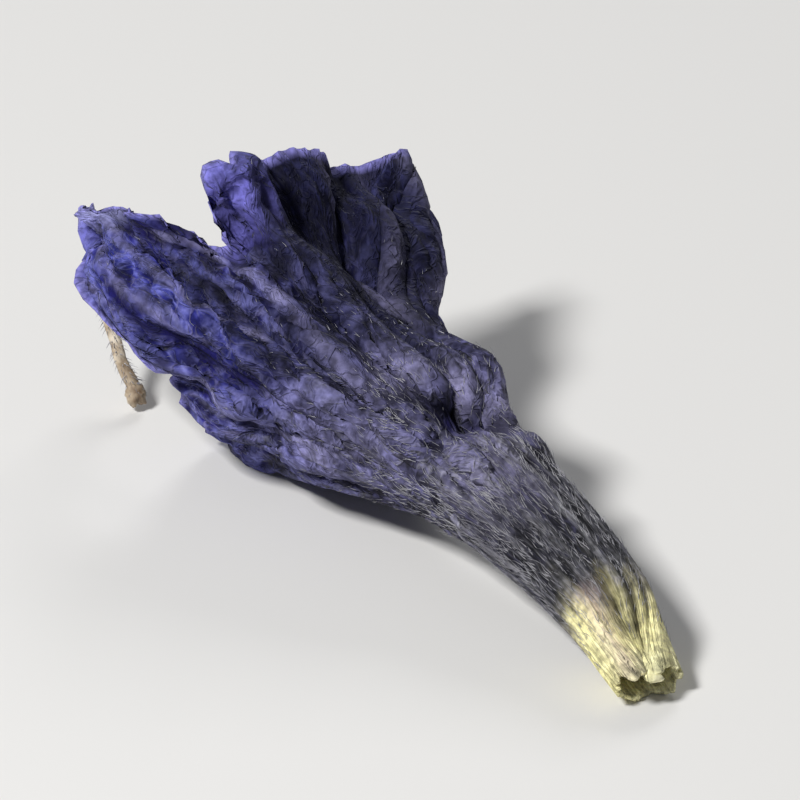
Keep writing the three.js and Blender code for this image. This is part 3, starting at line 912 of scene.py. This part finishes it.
def grow_hairs(hair, root, out, forward, long):
    """Gives an object's mesh one thin curved cone for each root, leaning forward over the tissue."""
    count = len(root)
    long = long[:, None, None]
    lean = np.radians(chance.uniform(*HAIR_LEANS, count))[:, None, None]
    swerve = chance.normal(0, HAIR_SWERVE, count)[:, None, None]
    thin = HAIR_RADIUS * chance.uniform(*HAIR_THICKNESSES, count)[:, None, None]
    beside = np.cross(out, forward)
    root, out, forward, beside = root[:, None], out[:, None], forward[:, None], beside[:, None]
    height = one_hair[None, :, 2:]
    rise = np.sin(lean) * height + HAIR_ARCH * height * (1 - height)
    spot = root + out * rise * long + forward * np.cos(lean) * height * long
    spot = spot + beside * (swerve * height**2 * long + one_hair[None, :, :1] * thin)
    spot = spot + np.cross(forward, beside) * one_hair[None, :, 1:2] * thin
    spot = spot[spot[..., 2].min(1) > HAIR_CLEAR]
    starts = np.arange(len(spot)) * len(one_hair)
    faces = [[v + s for v in face] for s in starts.tolist() for face in hair_faces]
    hair_mesh = bpy.data.meshes.new(hair.name)
    hair_mesh.from_pydata((spot.reshape(-1, 3) * MM).tolist(), [], faces)
    hair.data = hair_mesh
    pick(hair)
    bpy.ops.object.mode_set(mode="EDIT")
    bpy.ops.mesh.select_all(action="SELECT")
    bpy.ops.mesh.normals_make_consistent(inside=False)
    bpy.ops.object.mode_set(mode="OBJECT")
    bpy.ops.object.shade_smooth()


tries = HAIRS * TRIES
hair_row = chance.uniform(*HAIRY_SPAN, tries) * ROWS
hair_column = chance.uniform(0, COLUMNS, tries)
at_row, at_column = hair_row.astype(int), hair_column.astype(int) % COLUMNS
row_share, column_share = hair_row - at_row, hair_column - hair_column.astype(int)


def on_sheet(grid):
    """A value of the sheet's grid at each hair's root."""
    spread = (slice(None),) + (None,) * (grid.ndim - 2)
    down, side = row_share[spread], column_share[spread]
    next_row, next_column = at_row + 1, (at_column + 1) % COLUMNS
    near = grid[at_row, at_column] * (1 - side) + grid[at_row, next_column] * side
    far = grid[next_row, at_column] * (1 - side) + grid[next_row, next_column] * side
    return near * (1 - down) + far * down


out = on_sheet(out_grid)
forward = unit(on_sheet(np.gradient(laid, axis=0)))
root_distance = on_sheet(distance_grid)
root_turn = np.arctan2(on_sheet(np.sin(round_grid)), on_sheet(np.cos(round_grid)))
ridge = np.clip(on_sheet(fold_grid) * RIDGE_GAIN + 0.5, 0.05, 1)
cell = np.linalg.norm(on_sheet(np.roll(laid, -1, axis=1) - laid), axis=1)
cell = cell * np.linalg.norm(on_sheet(np.gradient(laid, axis=0)), axis=1)
wanted = SPARSE_SHARE + np.exp(-(((root_distance - THICKEST_AT) / THICKEST_SPREAD) ** 2))
tuft_aside = wrap_turn(np.degrees(root_turn) - TUFT_TURN) / TUFT_SPREAD
tuft_ahead = (root_distance - TUFT_DISTANCE) / TUFT_WIDTH
wanted = wanted + TUFT_SHARE * np.exp(-(tuft_aside**2) - tuft_ahead**2)
# No hairs grow in the deep creases, where their shade is painted.
wanted = cell * ridge * wanted * (1 - on_sheet(tones["deep_crease_shade"]))
kept = np.argsort(chance.uniform(0, 1, tries) ** (1 / np.maximum(wanted / wanted.max(), 1e-6)))
kept = kept[-HAIRS:]
root = (on_sheet(laid) / MM + out * (SHEET / 2 - HAIR_SUNK))[kept]
shorter = 1 - 0.5 * smooth_step(root_distance[kept], *SHORTER_SPAN)
grow_hairs(hair, root, out[kept], forward[kept], chance.uniform(*HAIR_LENGTHS, HAIRS) * shorter)


def grainy_paint(name, tints, scale, detail, roughness, relief=None):
    """A dry material whose colour runs through some tints with a fine grain."""
    paint = bpy.data.materials.new(name)
    paint.use_nodes = True
    place = node(paint, "TexCoord").outputs["Object"]
    grain = clouds(paint, place, scale, detail)
    color = ramp(paint, grain, tints)
    shader = paint.node_tree.nodes["Principled BSDF"]
    paint.node_tree.links.new(color, shader.inputs["Base Color"])
    shader.inputs["Roughness"].default_value = roughness
    if relief:
        strength, depth = relief
        bump = node(paint, "Bump", {"Height": grain, "Strength": strength, "Distance": depth})
        paint.node_tree.links.new(bump.outputs["Normal"], shader.inputs["Normal"])
    return paint


HAIR_TINTS = [(0.35, tint(112, 111, 120)), (0.65, tint(180, 179, 184))]
hair_paint = grainy_paint("whitish hair", HAIR_TINTS, 900.0, 2.0, 0.45)
hair.data.materials.append(hair_paint)
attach(hair, "root")

# Stamens: five thread-like filaments that grow from the inner wall of the funnel, each with a
# shrivelled two-lobed anther at its end. They grew as one with the corolla.
FILAMENT_RADII = (0.17, 0.09)
FILAMENT_SIDES = 10
FILAMENT_STEPS = 60
FILAMENT_SHRUNK = 0.15
FILAMENT_WOBBLE = 0.05
WOBBLE_POINTS = 9
ANTHER_LENGTH = 1.7
ANTHER_WIDTH = 0.62
ANTHER_FLATNESS = 0.8
CLEFT_DEPTH = 0.4
# How far a filament lies from the funnel's middle line on its way, as a share of the way to the
# wall. For each one: turn and distance of its root, its length, and that share at its tip
FILAMENT_SHARES = (1.02, 0.8, 0.68, 0.6)
STAMENS = [
    (56, 11.5, 8.5, 0.5),
    (128, 11, 7, 0.42),
    (194, 12, 7.5, 0.55),
    (267, 11, 9, 0.45),
    (332, 12, 7.5, 0.6),
]


def inside_point(turn, distance, share):
    """A place inside the funnel, at a share of the way from its middle line to the sheet."""
    turn, distance = np.float64([turn]), np.float64([distance])
    side, middle = along_stations(SIDE_DRIFTS, distance), along_stations(MIDDLE_HEIGHTS, distance)
    centre = np.stack([distance, side, middle], -1)
    return (centre + (sheet_point(turn, distance) - centre) * share)[0]


def smooth_course(places, steps):
    """Evenly spaced points on a smooth curve through some places."""
    places = np.asarray(places, float)
    padded = np.concatenate([2 * places[:1] - places[1:2], places, 2 * places[-1:] - places[-2:-1]])
    line = []
    for k in range(len(places) - 1):
        a, b, c, d = padded[k : k + 4]
        for f in np.linspace(0, 1, 20, endpoint=False):
            turned = 2 * b + (c - a) * f + (2 * a - 5 * b + 4 * c - d) * f**2
            line.append((turned + (3 * b - a - 3 * c + d) * f**3) / 2)
    line = np.array(line + [places[-1]])
    gone = np.concatenate([[0], np.cumsum(np.linalg.norm(np.diff(line, axis=0), axis=1))])
    even = np.linspace(0, gone[-1], steps + 1)
    return np.stack([np.interp(even, gone, line[:, axis]) for axis in range(3)], -1)


def thread(name, course, radii, sides, shrunk):
    """A capped cylinder whose points are moved round a course in millimetres and shrunk unevenly,
    as a stalk dries."""
    steps = len(course) - 1
    made = stepped_cylinder(name, sides, steps, "NGON")
    ahead = unit(np.gradient(course, axis=0))
    side = np.cross(ahead[0], (0.3, 0.2, 0.9))
    sides_at = []
    for heading in ahead:
        side = unit(side - heading * side.dot(heading))
        sides_at.append(side)
    sides_at = np.array(sides_at)
    others = np.cross(ahead, sides_at)
    for vertex in made.data.vertices:
        step = int(round(vertex.co.z * steps))
        radius = np.interp(step / steps, np.linspace(0, 1, len(radii)), radii)
        gone = np.linalg.norm(course[step] - course[0])
        wrinkle = noise.noise(Vector((1.6 * vertex.co.x, 1.6 * vertex.co.y, 2.2 * gone)))
        knot = noise.noise(Vector((0.5, 0.5, 1.3 * gone + len(name))))
        radius *= 1 + shrunk * (wrinkle + knot)
        spot = course[step] + radius * (vertex.co.x * sides_at[step] + vertex.co.y * others[step])
        vertex.co = spot * MM
    bpy.ops.object.shade_smooth()
    return made


def place_of(points):
    """Places of the flower's own frame, laid on the table, in millimetres."""
    return settled(np.asarray(points, float)) / MM


def wobbled(course, shifts):
    """A course with random sideways shifts spread evenly along it."""
    at = np.linspace(0, len(shifts) - 1, len(course))
    moved = [np.interp(at, np.arange(len(shifts)), shifts[:, axis]) for axis in range(3)]
    return course + np.stack(moved, -1)


ANTHER_TINTS = [(0.35, tint(38, 30, 44)), (0.55, tint(84, 70, 74)), (0.7, tint(176, 160, 120))]
FILAMENT_TINTS = [(0.3, tint(84, 62, 110)), (0.5, tint(128, 104, 140)), (0.7, tint(176, 158, 168))]
anther_paint = grainy_paint("dried anther", ANTHER_TINTS, 2600.0, 4.0, 0.8, (0.8, 0.00005))
filament_paint = grainy_paint("dried filament", FILAMENT_TINTS, 1200.0, 4.0, 0.6)

for number, (stamen_turn, stamen_root, stamen_length, tip_share) in enumerate(STAMENS):
    last_share = FILAMENT_SHARES[-1]
    shares = [*FILAMENT_SHARES, last_share + (tip_share - last_share) * 0.6, tip_share]
    step = stamen_length / (len(shares) - 1)
    places = [inside_point(stamen_turn, stamen_root + step * k, s) for k, s in enumerate(shares)]
    shifts = np.random.default_rng(20 + number).normal(0, 1, (WOBBLE_POINTS, 3))
    course = wobbled(smooth_course(place_of(places), FILAMENT_STEPS), FILAMENT_WOBBLE * shifts)
    filament = thread(
        "filament_%d" % (number + 1), course, FILAMENT_RADII, FILAMENT_SIDES, FILAMENT_SHRUNK
    )
    filament.data.materials.append(filament_paint)
    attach(filament, "root")

    onward = Vector(course[-1] - course[-4]).normalized()
    bpy.ops.object.select_all(action="DESELECT")
    bpy.ops.mesh.primitive_uv_sphere_add(segments=32, ring_count=24, radius=1)
    anther = bpy.context.object
    anther.name = "anther_%d" % (number + 1)
    turned = onward.to_track_quat("Z", "Y")
    for vertex in anther.data.vertices:
        x, y, z = vertex.co
        angle = math.atan2(y, x)
        cleft = 1 - CLEFT_DEPTH * abs(math.sin(angle)) ** 6 * (1 - abs(z) ** 3)
        wrinkle = noise.noise(Vector((2.2 * x, 2.2 * y, 3 * z + 7 * number))) * 0.25
        wide = ANTHER_WIDTH / 2 * (cleft + wrinkle)
        bulge = 0.12 * x * x
        spot = Vector((x * wide, y * wide * ANTHER_FLATNESS, z * ANTHER_LENGTH / 2 + bulge))
        vertex.co = (turned @ spot + Vector(course[-1]) + onward * ANTHER_LENGTH * 0.33) * MM
    bpy.ops.object.shade_smooth()
    anther.data.materials.append(anther_paint)
    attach(anther, "root")

# Style: a loose dried thread from inside the tube that hangs out of the mouth, thinly haired,
# with a small two-lobed stigma at its end.
STYLE_SIDES = 14
STYLE_STEPS = 240
STYLE_SHRUNK = 0.45
STYLE_KNOTS = 60
KNOT_SHIFT = 0.05
STIGMA_LENGTH = 0.8
STIGMA_WIDTH = 0.68
STIGMA_DEPTH = STIGMA_WIDTH / 1.3
# Places of the flower's own frame that the thread runs through, and radii along it
STYLE_COURSE = [
    (6.0, -0.5, 2.5),
    (10, -0.1, 3.2),
    (14, 0.6, 3.7),
    (18, 1.5, 4.6),
    (22, 2.4, 5.1),
    (24.4, 2.8, 5.2),
    (26.2, 3.0, 4.6),
    (26.2, 3.2, 3.0),
    (25.3, 3.3, 1.8),
    (24.3, 3.3, 0.8),
]
STYLE_RADII = (0.2, 0.22, 0.25, 0.26, 0.26, 0.24, 0.19)
STYLE_TINTS = [(0.32, tint(116, 94, 72)), (0.5, tint(180, 162, 138)), (0.66, tint(216, 204, 184))]

knots = np.random.default_rng(5).normal(0, KNOT_SHIFT, (STYLE_KNOTS, 3))
style_course = wobbled(smooth_course(place_of(STYLE_COURSE), STYLE_STEPS), knots)
style = thread("dried_style", style_course, STYLE_RADII, STYLE_SIDES, STYLE_SHRUNK)
style_paint = grainy_paint("dried style", STYLE_TINTS, 1600.0, 5.0, 0.65, (1.0, 0.00008))
bpy.ops.object.select_all(action="DESELECT")
bpy.ops.mesh.primitive_uv_sphere_add(segments=28, ring_count=20, radius=1)
stigma = bpy.context.object
onward = Vector(style_course[-1] - style_course[-6]).normalized()
turned = onward.to_track_quat("Z", "Y")
for vertex in stigma.data.vertices:
    x, y, z = vertex.co
    cleft = 1 - 0.35 * math.exp(-((x / 0.25) ** 2)) * max(z, 0)
    wrinkle = 1 + 0.3 * noise.noise(Vector((3 * x, 3 * y, 3 * z)))
    spot = Vector((x * STIGMA_WIDTH, y * STIGMA_DEPTH, z * STIGMA_LENGTH * cleft)) / 2 * wrinkle
    vertex.co = (turned @ spot + Vector(style_course[-1])) * MM
bpy.ops.object.shade_smooth()
style.select_set(True)
bpy.context.view_layer.objects.active = style
bpy.ops.object.join()
style.data.materials.clear()
style.data.materials.append(style_paint)
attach(style, "root")
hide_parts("style")

# Its hairs stand well away from it, and its end inside the tube has none.
STYLE_HAIRS = 900
STYLE_HAIR_LENGTHS = (0.1, 0.28)
STYLE_HAIR_RISE = 0.8
BARE_STEPS = 60
bpy.ops.object.select_all(action="DESELECT")
bpy.ops.mesh.primitive_cone_add(vertices=HAIR_SIDES, radius1=1, radius2=0, depth=1)
fuzz = bpy.context.object
fuzz.name = "style_hairs"
fuzz_step = chance.integers(BARE_STEPS, STYLE_STEPS, STYLE_HAIRS)
fuzz_ahead = unit(np.gradient(style_course, axis=0)[fuzz_step])
fuzz_out = unit(np.cross(fuzz_ahead, chance.normal(0, 1, (STYLE_HAIRS, 3))))
fuzz_radius = np.interp(fuzz_step / STYLE_STEPS, np.linspace(0, 1, len(STYLE_RADII)), STYLE_RADII)
fuzz_root = style_course[fuzz_step] + fuzz_out * (fuzz_radius * 0.85)[:, None]
fuzz_long = chance.uniform(*STYLE_HAIR_LENGTHS, STYLE_HAIRS)
grow_hairs(fuzz, fuzz_root, fuzz_out, fuzz_ahead + fuzz_out * STYLE_HAIR_RISE, fuzz_long)
fuzz.data.materials.append(hair_paint)
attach(fuzz, "root")
